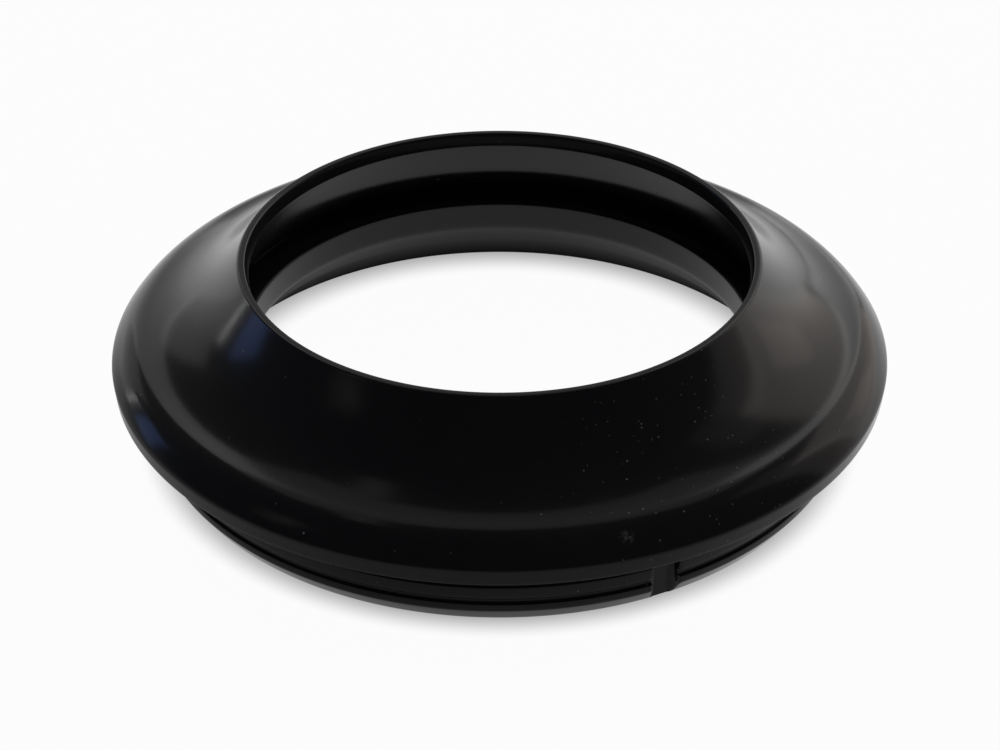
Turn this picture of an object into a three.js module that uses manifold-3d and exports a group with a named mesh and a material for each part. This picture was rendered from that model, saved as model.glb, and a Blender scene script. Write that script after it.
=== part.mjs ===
// Fork dust seal: one moulded rubber ring. Its grooved lower ring presses into the top of a fork
// slider, its flange sits on the slider's end face, and its conical lip wipes the tube inside it.
// Millimetres, +Z up along the seal's axis. Z = 0 is the base, which goes into the slider first.
import * as THREE from 'three';
import { mergeVertices, toCreasedNormals } from 'three/addons/utils/BufferGeometryUtils.js';
import Module from 'manifold-3d';

// Sizes that the fork gives
const tubeDiameter = 35;
const counterboreDiameter = 48;

// Bore, from the wiping edge down to the base
const wiperBite = 0.55; // the free wiping edge stands this far inside the tube's surface
const wiperDrop = 0.9; // wiping edge below the rim
const landBite = 0.2; // the same for the second lip
const landTopHeight = 6.95;
const landLength = 2;
const flareDepth = 1.47; // radial step from the second lip to the wide mouth
const flareLength = 1.83;
const baseWidth = 1.25; // flat ring that the seal stands on

// Hollow between the two lips
const hollowRoofAngle = 71; // degrees from level at the wiping edge
const hollowRoofPull = 3; // length of the curve's pull there
const hollowRootAngle = 42; // degrees from level at the deepest corner
const hollowRootPull = 1;
const hollowReach = 2.55; // deepest corner, outward from the wiping edge
const hollowFloorRise = 0.25;
const hollowRounding = 0.5;

// Ring that is pressed into the slider
const insertionDepth = 5.05;
const leadInWidth = 0.72; // chamfer that starts the ring in its bore
const leadInHeight = 1.1;
const grooveHeight = 1.82; // middle of the groove, above the base
const grooveWidth = 0.52;
const grooveDepth = 0.34;

// Flange: a moulded edge that leans out to the parting line, then a rounded shoulder
const flangeOverhang = 2.48;
const flangeCorner = 0.12;
const edgeHeight = 1.03;
const edgeDraft = 0.12;
const partingRounding = 0.19;
const shoulderRadius = 4.6;
const shoulderFrom = 33; // degrees above level that the surface faces
const shoulderTo = 60;
const crestRadius = 2; // tighter curve over the top of the shoulder
const crestTo = 79;

// Conical lip
const overallHeight = 12.92;
const rimWidth = 0.52; // narrow level top of the rim
const rimFlare = 0.2; // the rim's inner edge stands outside the wiping edge by this much
const rimRounding = 0.1;
const coneSlope = 53.5; // degrees at the rim
const coneToeReach = 1.4; // length of the curve's pull at the shoulder
const coneTipReach = 4.7; // and at the rim

// Pry notch in the ring, to lift the seal out with a blade
const notchBearing = -64.1; // degrees from +X towards +Y
const notchWidth = 1.9;
const notchDepth = 0.8;
const notchRounding = 0.35;

// How finely the round forms are cut
const turnSegments = 96;
const shoulderSegments = 6;
const crestSegments = 3;
const coneSegments = 12;
const hollowSegments = 8;
const cornerSegments = 3;
const cutterMargin = 2; // how far the notch's cutter stands clear of the ring

const radians = THREE.MathUtils.degToRad;

// Point on the section: x is the distance from the axis and y the height.
const point = (radius, height) => new THREE.Vector2(radius, height);

// Unit step at an angle above the outward direction
const heading = (degrees) => point(Math.cos(radians(degrees)), Math.sin(radians(degrees)));

// Point at a distance from another along a heading
const along = (start, degrees, distance) => start.clone().addScaledVector(heading(degrees), distance);

// Arc that goes on from the last point, while the way that the surface faces turns between two angles
function roundOn(points, radius, from, to, segments) {
  const centre = along(points.at(-1), 180 + from, radius);
  for (let step = 1; step <= segments; step += 1) {
    points.push(along(centre, from + ((to - from) * step) / segments, radius));
  }
}

// Round corner between the straight lines before and after it
function roundCorner(points, before, corner, after, size) {
  const start = corner.clone().sub(before).setLength(size).negate().add(corner);
  const end = after.clone().sub(corner).setLength(size).add(corner);
  points.push(...new THREE.QuadraticBezierCurve(start, corner, end).getPoints(cornerSegments));
}

// Outside of the section, from the base's outer edge up to the rim's outer edge
function outerOutline() {
  const ringRadius = counterboreDiameter / 2;
  const points = [point(ringRadius - leadInWidth, 0), point(ringRadius, leadInHeight)];

  // Shallow round-bottomed groove between the two ribs of the ring
  const [low, high] = [grooveHeight - grooveWidth / 2, grooveHeight + grooveWidth / 2];
  const groove = new THREE.CubicBezierCurve(
    point(ringRadius, low),
    point(ringRadius - grooveDepth * 4 / 3, low),
    point(ringRadius - grooveDepth * 4 / 3, high),
    point(ringRadius, high),
  );
  points.push(...groove.getPoints(cornerSegments + 1));

  // Level underside of the flange, out to its tight lower corner
  const flangeRadius = ringRadius + flangeOverhang;
  const inside = point(ringRadius, insertionDepth);
  const corner = point(flangeRadius, insertionDepth);
  const parting = point(flangeRadius + edgeDraft, insertionDepth + edgeHeight);
  points.push(inside);
  roundCorner(points, inside, corner, parting, flangeCorner);

  // Parting line, then the shoulder and its crest
  const shoulderFoot = along(parting, 90 + shoulderFrom, partingRounding);
  roundCorner(points, corner, parting, shoulderFoot, partingRounding);
  roundOn(points, shoulderRadius, shoulderFrom, shoulderTo, shoulderSegments);
  roundOn(points, crestRadius, shoulderTo, crestTo, crestSegments);

  // Hollow-sided cone that steepens towards the rim
  const shoulderEnd = points.at(-1);
  const rimEdge = rimOuterEdge();
  const cone = new THREE.CubicBezierCurve(
    shoulderEnd,
    along(shoulderEnd, 90 + crestTo, coneToeReach),
    along(rimEdge, -coneSlope, coneTipReach),
    rimEdge,
  );
  points.push(...cone.getPoints(coneSegments).slice(1, -1));
  roundCorner(points, points.at(-1), rimEdge, rimInnerEdge(), rimRounding);
  return points;
}

// The rim's two edges, where the outside and the bore meet
function rimInnerEdge() {
  return point(tubeDiameter / 2 - wiperBite + rimFlare, overallHeight);
}

function rimOuterEdge() {
  return point(rimInnerEdge().x + rimWidth, overallHeight);
}

// Inside of the section, from the rim's inner edge down to the base's inner edge
function innerOutline() {
  const wiper = point(tubeDiameter / 2 - wiperBite, overallHeight - wiperDrop);
  const land = point(tubeDiameter / 2 - landBite, landTopHeight);
  const points = [rimInnerEdge(), wiper];

  // The hollow curves out under the cone and comes back to the second lip.
  const hollowCorner = point(wiper.x + hollowReach, landTopHeight + hollowFloorRise);
  const roofEnd = along(hollowCorner, 180 - hollowRootAngle, hollowRounding);
  const roof = new THREE.CubicBezierCurve(
    wiper,
    along(wiper, -hollowRoofAngle, hollowRoofPull),
    along(roofEnd, 180 - hollowRootAngle, hollowRootPull),
    roofEnd,
  );
  points.push(...roof.getPoints(hollowSegments).slice(1, -1));
  roundCorner(points, roofEnd, hollowCorner, land, hollowRounding);

  // Second lip, then the wide mouth that steps out to the base
  const landFoot = point(land.x, landTopHeight - landLength);
  const flareFoot = point(land.x + flareDepth, landFoot.y - flareLength);
  points.push(land, landFoot, flareFoot);
  points.push(point(counterboreDiameter / 2 - leadInWidth - baseWidth, 0));
  return points;
}

// Turns a closed outline about the Z axis.
function revolve(outline) {
  const turned = new THREE.LatheGeometry([...outline, outline[0]], turnSegments);
  return turned.rotateX(Math.PI / 2);
}

// Upright cutter for the pry notch, with rounded inner corners
function notchCutter() {
  const half = notchWidth / 2;
  const bed = counterboreDiameter / 2 - notchDepth;
  const mouth = counterboreDiameter / 2 + cutterMargin;
  const plan = new THREE.Shape();
  plan.moveTo(mouth, half);
  plan.lineTo(bed + notchRounding, half);
  plan.quadraticCurveTo(bed, half, bed, half - notchRounding);
  plan.lineTo(bed, notchRounding - half);
  plan.quadraticCurveTo(bed, -half, bed + notchRounding, -half);
  plan.lineTo(mouth, -half);
  plan.closePath();
  const cutter = new THREE.ExtrudeGeometry(plan, {
    depth: insertionDepth + cutterMargin,
    curveSegments: cornerSegments,
    bevelEnabled: false,
  });
  return cutter.translate(0, 0, -cutterMargin).rotateZ(radians(notchBearing));
}

const wasm = await Module();
wasm.setup();

// Closed three.js geometry as a solid that can be cut
function solid(geometry) {
  const bare = geometry.clone();
  bare.deleteAttribute('normal');
  bare.deleteAttribute('uv');
  const merged = mergeVertices(bare);
  return new wasm.Manifold(new wasm.Mesh({
    numProp: 3,
    vertProperties: new Float32Array(merged.attributes.position.array),
    triVerts: new Uint32Array(merged.index.array),
  }));
}

// Solid back to a three.js geometry, shaded smooth except at its real edges
function geometryOf(cut) {
  const mesh = cut.getMesh();
  const geometry = new THREE.BufferGeometry();
  geometry.setAttribute('position', new THREE.BufferAttribute(mesh.vertProperties, 3));
  geometry.setIndex(new THREE.BufferAttribute(mesh.triVerts, 1));
  return toCreasedNormals(geometry, radians(25));
}

const ring = revolve([...outerOutline(), ...innerOutline()]);
const rubber = new THREE.MeshStandardMaterial({ color: 0x16161a, roughness: 0.3, metalness: 0 });
const dustSeal = new THREE.Mesh(geometryOf(solid(ring).subtract(solid(notchCutter()))), rubber);
dustSeal.name = 'dust_seal';

const group = new THREE.Group();
group.add(dustSeal);

export default group;
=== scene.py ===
import math

import bmesh
import bpy
from mathutils import Matrix, Vector
from mathutils.geometry import interpolate_bezier


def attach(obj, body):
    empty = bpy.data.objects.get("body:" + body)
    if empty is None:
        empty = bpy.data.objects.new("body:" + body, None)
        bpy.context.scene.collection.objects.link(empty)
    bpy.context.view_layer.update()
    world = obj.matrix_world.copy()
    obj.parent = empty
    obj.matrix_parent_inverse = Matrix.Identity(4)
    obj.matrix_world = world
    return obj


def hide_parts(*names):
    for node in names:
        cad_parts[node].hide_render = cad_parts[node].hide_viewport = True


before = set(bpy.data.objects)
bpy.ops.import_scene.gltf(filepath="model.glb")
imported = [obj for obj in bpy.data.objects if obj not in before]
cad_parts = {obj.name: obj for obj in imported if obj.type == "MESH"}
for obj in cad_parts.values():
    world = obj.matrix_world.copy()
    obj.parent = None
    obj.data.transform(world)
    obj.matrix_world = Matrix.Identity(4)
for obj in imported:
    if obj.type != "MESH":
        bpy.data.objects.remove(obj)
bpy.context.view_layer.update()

# Camera
# A long lens looks down on the seal at 33 degrees from about 170 mm, as for a product picture of
# a small part.
LENS = 88.2
SENSOR_WIDTH = 36
CAMERA_TILT = math.radians(33.15)
CAMERA_REACH = 0.1711
CAMERA_TARGET = Vector((0.00003, 0, 0.00294))
NEAREST_SEEN = 0.005

camera_data = bpy.data.cameras.new("camera")
camera_data.lens = LENS
camera_data.sensor_width = SENSOR_WIDTH
camera_data.clip_start = NEAREST_SEEN
camera = bpy.data.objects.new("camera", camera_data)
camera.location = CAMERA_TARGET + CAMERA_REACH * Vector(
    (0, -math.cos(CAMERA_TILT), math.sin(CAMERA_TILT))
)
camera.rotation_euler = (math.pi / 2 - CAMERA_TILT, 0, 0)
bpy.context.collection.objects.link(camera)
bpy.context.scene.camera = camera

# Dust seal, the moulded ring
# The real seal is one piece of nitrile rubber, moulded in a turned steel tool that parts round
# the flange. A thin lip wipes the fork tube, a hollow behind it keeps the lip soft, and the
# grooved ring below the flange presses into the fork slider.
MM = 0.001

# A place on the section is its distance from the axis and its height, in millimetres. A pull is a
# handle of the smooth curve beside it.
WIPER_EDGE = (16.95, 12.02)
RIM_INSIDE = (17.20, 12.92)
RIM_OUTSIDE = (17.67, 12.92)
CONE_TOP_PULL = (20.466, 9.142)
CONE_FOOT_PULL = (22.946, 8.217)
CONE_FOOT = (24.32, 7.95)
SHOULDER_PULLS = ((25.97, 7.06), (25.26, 7.767))
SHOULDER_FOOT = (26.52, 6.24)
PARTING = (26.585, 6.08)
FLANGE_CORNER = (26.48, 5.05)
RING_RADIUS = 24.0
GROOVE_MIDDLE = 1.82
GROOVE_WIDTH = 0.44
GROOVE_DEPTH = 0.22
LEAD_IN = (23.28, 1.1)
BASE_INSIDE = 22.03
MOUTH_STEP = (18.77, 3.12)
SECOND_LIP_TOP = (17.30, 6.95)
SECOND_LIP_FOOT = (17.30, 4.95)
ROOF_PULLS = ((17.927, 9.183), (18.386, 8.204))
ROOF_END = (19.277, 7.401)
HOLLOW_CORNER = (19.50, 7.20)
HOLLOW_ROUNDING = 0.12
ROUND_PULL = 2 / 3  # how far a rounding's ends are pulled towards its corner

# The ring steps in a little between its upper rib and the flange.
RELIEF_RADIUS = 23.72
RELIEF_FOOT = 2.88
RELIEF_RISE = 0.2  # height of the sloped step
RELIEF_HEAD = RELIEF_FOOT + RELIEF_RISE

# Roundings of the corners
EDGE_ROUNDING = 0.08  # base, chamfer and relief
GROOVE_ROUNDING = 0.07
FLANGE_ROOT_ROUNDING = 0.12
FLANGE_ROUNDING = 0.05
PARTING_ROUNDING = 0.07
RIM_ROUNDING = 0.09
WIPER_ROUNDING = 0.03
LIP_TOP_ROUNDING = 0.1
LIP_FOOT_ROUNDING = 0.25
MOUTH_ROUNDING = 0.3
ROUNDING_STEPS = 4

# How finely each curve is cut
GROOVE_STEPS = 12
SHOULDER_STEPS = 16
CONE_STEPS = 34
ROOF_STEPS = 24
HOLLOW_STEPS = 10


def stretch(start, start_pull, end_pull, end, steps):
    """Points along a smooth curve of the section, unrounded and without the last one."""
    points = [Vector((r, z, 0)) for r, z in (start, start_pull, end_pull, end)]
    return [((p.x, p.y), 0) for p in interpolate_bezier(*points, steps)[:-1]]


def toward(start, end, distance):
    """Point at a distance from the start, on the way to the end."""
    start, end = Vector(start), Vector(end)
    return tuple(start + (end - start).normalized() * distance)


low, high = GROOVE_MIDDLE - GROOVE_WIDTH / 2, GROOVE_MIDDLE + GROOVE_WIDTH / 2
groove_pull = RING_RADIUS - GROOVE_DEPTH * 4 / 3
groove = ((RING_RADIUS, low), (groove_pull, low), (groove_pull, high), (RING_RADIUS, high))
hollow_end = toward(HOLLOW_CORNER, SECOND_LIP_TOP, HOLLOW_ROUNDING)
hollow_pulls = [
    toward(end, HOLLOW_CORNER, HOLLOW_ROUNDING * ROUND_PULL) for end in (ROOF_END, hollow_end)
]

# The section runs from the base up the outside, over the rim and down the bore. Each corner comes
# with its rounding, and a rounding of 0 is a point along a smooth curve.
section = [
    ((LEAD_IN[0], 0), EDGE_ROUNDING),
    ((RING_RADIUS, LEAD_IN[1]), EDGE_ROUNDING),
    (groove[0], GROOVE_ROUNDING),
    *stretch(*groove, GROOVE_STEPS)[1:],
    (groove[3], GROOVE_ROUNDING),
    ((RING_RADIUS, RELIEF_FOOT), EDGE_ROUNDING),
    ((RELIEF_RADIUS, RELIEF_HEAD), EDGE_ROUNDING),
    ((RELIEF_RADIUS, FLANGE_CORNER[1]), FLANGE_ROOT_ROUNDING),
    (FLANGE_CORNER, FLANGE_ROUNDING),
    (PARTING, PARTING_ROUNDING),
    *stretch(SHOULDER_FOOT, *SHOULDER_PULLS, CONE_FOOT, SHOULDER_STEPS),
    *stretch(CONE_FOOT, CONE_FOOT_PULL, CONE_TOP_PULL, RIM_OUTSIDE, CONE_STEPS),
    (RIM_OUTSIDE, RIM_ROUNDING),
    (RIM_INSIDE, RIM_ROUNDING),
    (WIPER_EDGE, WIPER_ROUNDING),
    *stretch(WIPER_EDGE, *ROOF_PULLS, ROOF_END, ROOF_STEPS)[1:],
    *stretch(ROOF_END, *hollow_pulls, hollow_end, HOLLOW_STEPS),
    (hollow_end, 0),
    (SECOND_LIP_TOP, LIP_TOP_ROUNDING),
    (SECOND_LIP_FOOT, LIP_FOOT_ROUNDING),
    (MOUTH_STEP, MOUTH_ROUNDING),
    ((BASE_INSIDE, 0), EDGE_ROUNDING),
]

seal_mesh = bmesh.new()
outline = [seal_mesh.verts.new((r * MM, 0, z * MM)) for (r, z), rounding in section]
for before, after in zip(outline, outline[1:] + outline[:1]):
    seal_mesh.edges.new((before, after))
for size in sorted({rounding for _, rounding in section if rounding}):
    corners = [v for v, (_, rounding) in zip(outline, section) if rounding == size]
    bmesh.ops.bevel(
        seal_mesh, geom=corners, offset=size * MM, segments=ROUNDING_STEPS, profile=0.5,
        affect="VERTICES", material=-1,
    )

# Long straight stretches get more points, so that the roundings beside them shade cleanly.
LONGEST = 0.3 * MM
for edge in list(seal_mesh.edges):
    cuts = int(edge.calc_length() / LONGEST)
    if cuts:
        bmesh.ops.subdivide_edges(seal_mesh, edges=[edge], cuts=cuts)

# The section turns once round the axis: fine steps where the pry notch will be, then one sector
# that is repeated round the rest.
NOTCH_BEARING = math.radians(-64.1)
NOTCH_SECTOR = math.radians(7.2)
NOTCH_STEPS = 64
SECTORS = 8
SECTOR_STEPS = 42
MERGE_REACH = 0.001 * MM
sector_turn = (math.tau - NOTCH_SECTOR) / SECTORS
turning = {"axis": (0, 0, 1), "cent": (0, 0, 0)}
bmesh.ops.rotate(
    seal_mesh, verts=seal_mesh.verts,
    matrix=Matrix.Rotation(NOTCH_BEARING + NOTCH_SECTOR / 2, 3, "Z"),
)
section_edges = seal_mesh.verts[:] + seal_mesh.edges[:]
spare = bmesh.ops.duplicate(seal_mesh, geom=section_edges)["geom"]
bmesh.ops.spin(seal_mesh, geom=spare, angle=-NOTCH_SECTOR, steps=NOTCH_STEPS, **turning)
notch_part = set(seal_mesh.verts[:]) - set(section_edges)
bmesh.ops.spin(seal_mesh, geom=section_edges, angle=sector_turn, steps=SECTOR_STEPS, **turning)
sector = [v for v in seal_mesh.verts if v not in notch_part]
sector += [e for e in seal_mesh.edges if e.verts[0] not in notch_part]
sector += [f for f in seal_mesh.faces if f.verts[0] not in notch_part]
for turn in range(1, SECTORS):
    repeated = bmesh.ops.duplicate(seal_mesh, geom=sector)["geom"]
    bmesh.ops.rotate(
        seal_mesh, verts=[v for v in repeated if isinstance(v, bmesh.types.BMVert)],
        matrix=Matrix.Rotation(turn * sector_turn, 3, "Z"),
    )
bmesh.ops.remove_doubles(seal_mesh, verts=seal_mesh.verts, dist=MERGE_REACH)

# The notch is a recess in the ring, up to the flange, for the blade that lifts the seal out.
NOTCH_HALF = 0.95 * MM
NOTCH_BED = 23.2 * MM
NOTCH_INNER_ROUNDING = 0.55 * MM
NOTCH_MOUTH_ROUNDING = 0.16 * MM
NOTCH_HEAD = (FLANGE_CORNER[1] + 0.01) * MM  # just above the flange's underside
NOTCH_REACH = (RING_RADIUS + 0.13) * MM  # just outside the ring


def notch_limit(across):
    """Largest radius that the notch leaves, by the distance from its middle."""
    ring = RING_RADIUS * MM
    if across <= NOTCH_HALF - NOTCH_INNER_ROUNDING:
        return NOTCH_BED
    if across < NOTCH_HALF:
        reach = across - (NOTCH_HALF - NOTCH_INNER_ROUNDING)
        return NOTCH_BED + NOTCH_INNER_ROUNDING - math.sqrt(NOTCH_INNER_ROUNDING**2 - reach**2)
    reach = NOTCH_HALF + NOTCH_MOUTH_ROUNDING - across
    if reach > 0:
        return ring - NOTCH_MOUTH_ROUNDING + math.sqrt(NOTCH_MOUTH_ROUNDING**2 - reach**2)
    return ring


for vert in seal_mesh.verts:
    radius = vert.co.xy.length
    if vert.co.z > NOTCH_HEAD or radius > NOTCH_REACH:
        continue
    across = abs(math.atan2(vert.co.y, vert.co.x) - NOTCH_BEARING) * RING_RADIUS * MM
    limit = notch_limit(across)
    if radius <= limit:
        continue
    wall = RELIEF_RADIUS if vert.co.z > RELIEF_HEAD * MM else RING_RADIUS
    fillet = max(0, radius - wall * MM)
    vert.co.xy *= min(limit + fillet, radius) / radius

bmesh.ops.recalc_face_normals(seal_mesh, faces=seal_mesh.faces)
for face in seal_mesh.faces:
    face.smooth = True
seal_data = bpy.data.meshes.new("moulded_seal")
seal_mesh.to_mesh(seal_data)
seal_mesh.free()
seal = bpy.data.objects.new("moulded_seal", seal_data)
bpy.context.collection.objects.link(seal)


# Black nitrile rubber
# The tool's polish gives the rubber its gloss. Handling leaves a faint haze, dust and a few
# short scuffs on it.
class Finish:
    """One socket of a finish. Arithmetic on it adds Math nodes to its tree."""

    def __init__(self, tree, socket=None):
        self.tree = tree
        self.socket = socket

    def add(self, kind, inputs, output=0, **settings):
        """Adds a node: its settings first, then the values or links of its sockets."""
        node = self.tree.nodes.new(kind)
        for name, value in settings.items():
            setattr(node, name, value)
        for key, value in inputs.items():
            if isinstance(value, Finish):
                self.tree.links.new(value.socket, node.inputs[key])
            else:
                node.inputs[key].default_value = value
        return None if output is None else Finish(self.tree, node.outputs[output])

    def math(self, operation, *values):
        return self.add("ShaderNodeMath", dict(enumerate(values)), operation=operation)

    def __add__(self, other):
        return self.math("ADD", self, other)

    def __sub__(self, other):
        return self.math("SUBTRACT", self, other)

    def __rsub__(self, other):
        return self.math("SUBTRACT", other, self)

    def __mul__(self, other):
        return self.math("MULTIPLY", self, other)

    __radd__ = __add__
    __rmul__ = __mul__


def ramp(value, start, end):
    """0 at the start and 1 at the end, either way round, smooth between."""
    return value.add(
        "ShaderNodeMapRange",
        {"Value": value, "From Min": start, "From Max": end},
        interpolation_type="SMOOTHSTEP",
    )


CLEAN = (0.0130, 0.0133, 0.0150, 1)
HAZED = (0.0180, 0.0180, 0.0188, 1)
BLOOMED = (0.032, 0.031, 0.030, 1)
SCUFFED = (0.09, 0.09, 0.09, 1)
DUSTED = (0.29, 0.285, 0.28, 1)
CLEAN_ROUGHNESS = 0.115
SPECULAR_LEVEL = 0.22
RING_FINENESS = 1900  # scale of the rings, about six of them to the millimetre
BUMP_HEIGHT = 0.002 * MM
BUMP_STRENGTH = 0.6
SPOT_CORE = 0.55  # share of a spot's reach within which it is full

rubber = bpy.data.materials.new("black_rubber")
rubber.use_nodes = True
tree = rubber.node_tree
surface = tree.nodes["Principled BSDF"]
paint = Finish(tree)
place = paint.add("ShaderNodeTexCoord", {}, output="Object")


def noise(vector, size, detail=2, rough=0.5):
    """Soft noise whose features are about the given size in millimetres."""
    return paint.add(
        "ShaderNodeTexNoise",
        {"Vector": vector, "Scale": 1 / (size * MM), "Detail": detail, "Roughness": rough},
        output="Fac",
    )


def blend(factor, start, end):
    """Colour between two colours."""
    return paint.add("ShaderNodeMix", {0: factor, 6: start, 7: end}, output=2, data_type="RGBA")


def turned(vector, angles, stretches):
    """The same place in turned and stretched coordinates."""
    return paint.add(
        "ShaderNodeMapping",
        {"Vector": vector, "Rotation": [math.radians(a) for a in angles], "Scale": stretches},
    )


def spots(vector, spacing, reach):
    """1 at scattered points, falling to 0 at the reach, a share of the spacing in millimetres."""
    cells = paint.add(
        "ShaderNodeTexVoronoi", {"Vector": vector, "Scale": 1 / (spacing * MM)}, output="Distance"
    )
    return ramp(cells, reach, reach * SPOT_CORE)


def distance_from(centre):
    """Distance from a place on the seal."""
    return paint.add(
        "ShaderNodeVectorMath", {0: place, 1: centre}, output="Value", operation="DISTANCE"
    )


haze = noise(place, size=9, detail=3, rough=0.55)
bloom = ramp(noise(place, size=3.2, detail=4, rough=0.6), 0.56, 0.72)
grain = noise(place, size=0.35, detail=3, rough=0.6)

# Most of the dust has settled on the front right of the cone.
DUSTY_PLACE = (0.012, -0.021, 0.008)
DUSTY_CORE = 0.004
DUSTY_REACH = 0.011
dusty = ramp(distance_from(DUSTY_PLACE), DUSTY_REACH, DUSTY_CORE)

# Crumbs make each speck ragged and uneven. Lint is fainter than dust, and both come and go.
crumbs = noise(place, size=0.09, detail=1)
ragged = paint.add(
    "ShaderNodeVectorMath", {0: place, 1: crumbs * (0.10 * MM)}, output="Vector", operation="ADD"
)
sparse_dust = spots(ragged, spacing=1.5, reach=0.060)
dense_dust = spots(ragged, spacing=0.7, reach=0.115) * dusty
dust = paint.math("MAXIMUM", sparse_dust, dense_dust)
lint = spots(turned(place, (25, 10, 35), (1.0, 0.16, 1.0)), spacing=1.1, reach=0.05)
scuffs = spots(turned(place, (0, 15, -40), (0.10, 1.0, 1.0)), spacing=0.9, reach=0.045)
scuffs = scuffs * ramp(noise(place, size=6), 0.5, 0.62)
marks = paint.math("MAXIMUM", dust, lint * 0.6) * (0.35 + crumbs)
marks = marks * (0.2 + 0.8 * ramp(noise(place, size=2.5, detail=1), 0.35, 0.65))

# One greasy smudge stays on the shoulder.
SMUDGE_PLACE = (0.0077, -0.0245, 0.0072)
SMUDGE_CORE = 0.0001
SMUDGE_REACH = 0.0006
smudge = ramp(distance_from(SMUDGE_PLACE), SMUDGE_REACH, SMUDGE_CORE)
smudge = smudge * ramp(noise(place, size=0.22), 0.42, 0.62)
marks = paint.math("MAXIMUM", marks, smudge * 0.35)

base = blend(haze, CLEAN, HAZED)
base = blend(bloom * 0.15, base, BLOOMED)
base = blend(scuffs * 0.5, base, SCUFFED)
base = blend(marks, base, DUSTED)
tree.links.new(base.socket, surface.inputs["Base Color"])
rough = CLEAN_ROUGHNESS + 0.05 * haze + 0.03 * grain + 0.02 * bloom + 0.2 * scuffs + 0.5 * marks
tree.links.new(rough.socket, surface.inputs["Roughness"])
surface.inputs["Specular IOR Level"].default_value = SPECULAR_LEVEL

# The tool was turned, so very fine rings run round the rubber.
rings = paint.add(
    "ShaderNodeTexWave",
    {"Vector": place, "Scale": RING_FINENESS, "Distortion": 0.6, "Detail": 1, "Detail Scale": 0.5},
    output="Fac", wave_type="RINGS", rings_direction="Z",
)
relief = grain + 0.25 * rings * haze + 4 * marks
bump = paint.add(
    "ShaderNodeBump", {"Height": relief, "Distance": BUMP_HEIGHT, "Strength": BUMP_STRENGTH},
    output="Normal",
)
tree.links.new(bump.socket, surface.inputs["Normal"])
seal_data.materials.append(rubber)

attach(seal, "root")
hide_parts("dust_seal")

# Floor
# A pale matt studio floor, wide enough to fill the picture from every side. The picture and the
# gloss of the rubber see most of it as plain white, with a soft shadow painted into that white
# near the seal's foot, over the real shadow on the matt floor.
FLOOR_HALF = 3.0
FLOOR_COLOUR = (0.86, 0.86, 0.86, 1)
FLOOR_WHITE = 0.97
# The shadow sizes below shape a shadow painted into the floor's white, by distance from the seal's
# foot.
CONTACT_RADIUS = 0.0227  # middle of the seal's foot, where its shadow is darkest
CONTACT_BLUR = 0.0005  # half the width over which the foot's edge softens
SHADOW_OUTSIDE = 0.0028  # how far the shadow in the picture reaches from the foot
SHADOW_INSIDE = 0.004
SHADOW_MIRRORED = 0.010  # the gloss of the mouth sees the shaded floor further in
SHADOW_DEPTH = 0.4  # share of the white that is left at the foot
# The gloss sizes below shape painted light and shade in the white that the rubber mirrors, by
# place on the floor.
FRONT_GLOSS = 0.34  # share of the white that the gloss sees in front of the seal
DIM_FROM = -0.035  # the floor is that dim from here forward
BRIGHT_FROM = 0.005  # and all white from here backward
LEFT_LEAN = 0.9  # how far forward a place counts for each step that it stands to the left
FOOT_GLOSS = 0.5  # share of the white that the gloss sees close to the foot
FOOT_REACH = 0.0025
floor_mesh = bmesh.new()
bmesh.ops.create_grid(floor_mesh, x_segments=1, y_segments=1, size=FLOOR_HALF)
floor_data = bpy.data.meshes.new("floor")
floor_mesh.to_mesh(floor_data)
floor_mesh.free()
floor = bpy.data.objects.new("floor", floor_data)
bpy.context.collection.objects.link(floor)
pale = bpy.data.materials.new("pale_floor")
pale.use_nodes = True
pale.node_tree.nodes.clear()
card = Finish(pale.node_tree)
seen = card.add("ShaderNodeLightPath", {}, output="Is Camera Ray")
mirrored = card.add("ShaderNodeLightPath", {}, output="Is Glossy Ray")
through = card.add("ShaderNodeLightPath", {}, output="Is Transmission Ray")
spot = card.add("ShaderNodeTexCoord", {}, output="Object")
from_axis = card.add("ShaderNodeVectorMath", {0: spot}, output="Value", operation="LENGTH")
outward = from_axis - CONTACT_RADIUS
matt = card.add("ShaderNodeBsdfDiffuse", {"Color": FLOOR_COLOUR})
white = card.add("ShaderNodeEmission", {"Color": (1, 1, 1, 1), "Strength": 1.0})

# Painted light and shade for the gloss: the white it sees is dimmed in front of the seal and to
# its left, as if the light came from behind and from the right, brightened close to the foot
# outside and darkened inside the mouth near the foot.
backward = card.add("ShaderNodeSeparateXYZ", {"Vector": spot}, output="Y")
rightward = card.add("ShaderNodeSeparateXYZ", {"Vector": spot}, output="X")
leftward = card.math("MINIMUM", rightward, 0.0)
lit_side = ramp(backward + LEFT_LEAN * leftward, DIM_FROM, BRIGHT_FROM)
behind = FRONT_GLOSS + (1 - FRONT_GLOSS) * lit_side
foot = ramp(outward, FOOT_REACH, CONTACT_BLUR) * FOOT_GLOSS
outside = ramp(outward, -CONTACT_BLUR, CONTACT_BLUR)
inside = card.math("MAXIMUM", outside, ramp(outward, 0.0, -SHADOW_MIRRORED))
painted_gloss_light = card.math("MAXIMUM", behind, foot) * inside

# A shadow is painted into the white that the picture sees, on both sides of the foot, by distance
# from it.
shade = card.math(
    "MAXIMUM", ramp(outward, 0.0, SHADOW_OUTSIDE), ramp(outward, 0.0, -SHADOW_INSIDE)
)
painted_shadow = SHADOW_DEPTH + (1 - SHADOW_DEPTH) * shade
lit = ((seen + through) * painted_shadow + mirrored * painted_gloss_light) * FLOOR_WHITE
shown = card.add("ShaderNodeMixShader", {0: lit, 1: matt, 2: white})
below = card.add("ShaderNodeNewGeometry", {}, output="Backfacing")
clear = card.add("ShaderNodeBsdfTransparent", {})
both = card.add("ShaderNodeMixShader", {0: below, 1: shown, 2: clear})
card.add("ShaderNodeOutputMaterial", {"Surface": both}, output=None)
floor_data.materials.append(pale)

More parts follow.
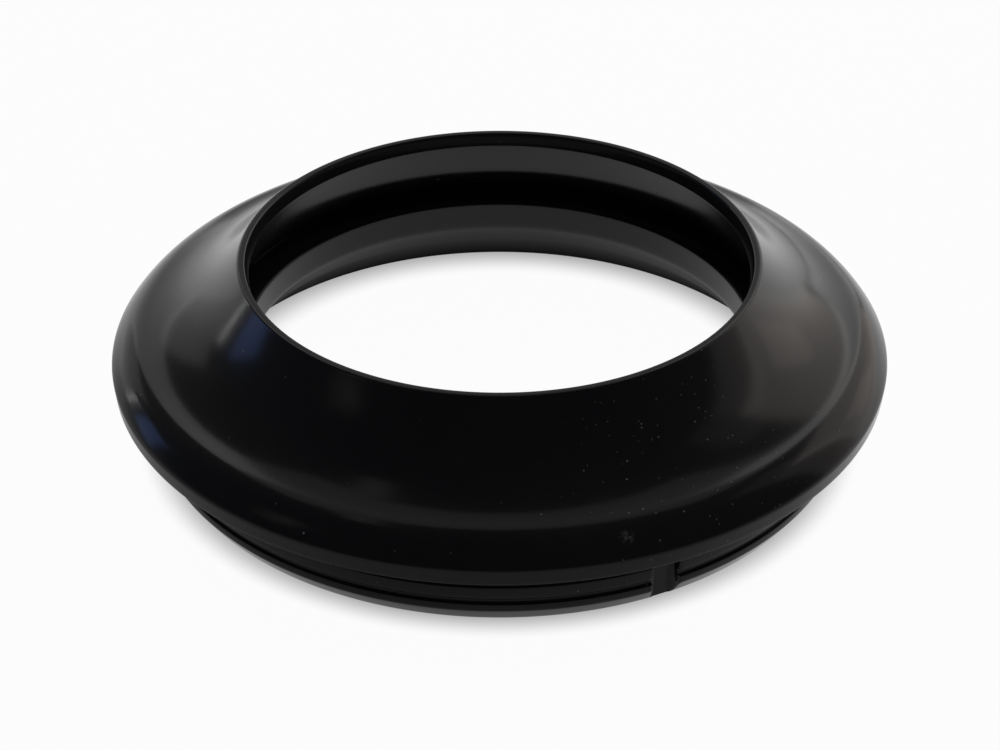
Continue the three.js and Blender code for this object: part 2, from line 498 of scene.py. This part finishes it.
# Studio light
# Soft boxes stand behind the seal and on both sides of it, and it is dim in front, so that the
# black rubber keeps its depth and only its flanks and shoulder catch the light.
BOX_REACH = 0.60
BOX_AIM = Vector((0, 0, 0.006))  # about the middle of the seal's height
WHITE = (1, 1, 1)
WARM = (1.0, 0.92, 0.86)
BLUE = (0.26, 0.43, 1.0)


def softbox(name, azimuth, elevation, width, height, brightness, colour=WHITE):
    """Area light at an azimuth (0 in front, positive to the right), facing the seal."""
    data = bpy.data.lights.new(name, "AREA")
    data.shape = "RECTANGLE"
    data.size, data.size_y = width, height
    data.energy = brightness * math.pi * width * height
    data.color = colour
    light = bpy.data.objects.new(name, data)
    light.visible_camera = False
    a, e = math.radians(azimuth), math.radians(elevation)
    away = Vector((math.sin(a) * math.cos(e), -math.cos(a) * math.cos(e), math.sin(e)))
    light.location = away * BOX_REACH + BOX_AIM
    light.rotation_mode = "QUATERNION"
    light.rotation_quaternion = away.to_track_quat("Z", "Y")
    bpy.context.collection.objects.link(light)


softbox("back_low_box", 180, 13, 0.40, 0.26, 0.35)
softbox("back_middle_box", 180, 34, 0.40, 0.20, 0.36)
softbox("back_high_box", 180, 61, 0.56, 0.32, 0.36)
softbox("right_box", 129.5, 21, 0.42, 0.46, 1.0, WARM)
softbox("right_core", 126, 16, 0.16, 0.16, 0.4, WARM)
softbox("right_side_box", 103, 20, 0.18, 0.44, 0.4, WARM)
softbox("right_side_top", 105, 46, 0.22, 0.12, 0.2, WARM)
softbox("upper_right_box", 157.5, 27, 0.18, 0.56, 1.15)
softbox("left_box", -154, 26, 0.21, 0.58, 0.75)
softbox("left_lens_box", -151, 44, 0.15, 0.16, 0.25)
softbox("left_wide_box", -136, 12, 0.20, 0.26, 0.48)
softbox("overhead_left_panel", -108, 71, 0.16, 0.05, 0.5)
softbox("window_streak", -124, 9, 0.016, 0.12, 4.5)
softbox("window_pane", -112, 13, 0.11, 0.15, 1.2, BLUE)
softbox("window_far", -64, 36, 0.07, 0.10, 0.18)
softbox("window_far_frame", -68, 33, 0.09, 0.12, 0.16)

# The air round the studio glows faintly, most of all near the floor.
ROOM_FRONT = (0.052, 0.052, 0.060, 1)
ROOM_BACK = (0.12, 0.12, 0.12, 1)
ROOM_LOW = (0.30, 0.30, 0.30, 1)
room = bpy.data.worlds.new("room")
room.use_nodes = True
room.node_tree.nodes.clear()
air = Finish(room.node_tree)
direction = air.add("ShaderNodeTexCoord", {}, output="Generated")
backward = air.add("ShaderNodeSeparateXYZ", {"Vector": direction}, output="Y")
upward = air.add("ShaderNodeSeparateXYZ", {"Vector": direction}, output="Z")
tint = air.add(
    "ShaderNodeMix", {0: ramp(backward, 0.0, 0.8), 6: ROOM_FRONT, 7: ROOM_BACK},
    output=2, data_type="RGBA",
)
tint = air.add(
    "ShaderNodeMix", {0: ramp(upward, 0.25, 0.0), 6: tint, 7: ROOM_LOW}, output=2, data_type="RGBA"
)
glow = air.add("ShaderNodeBackground", {"Color": tint, "Strength": 1.0})
air.add("ShaderNodeOutputWorld", {"Surface": glow}, output=None)
bpy.context.scene.world = room
bpy.context.scene.view_settings.view_transform = "Standard"
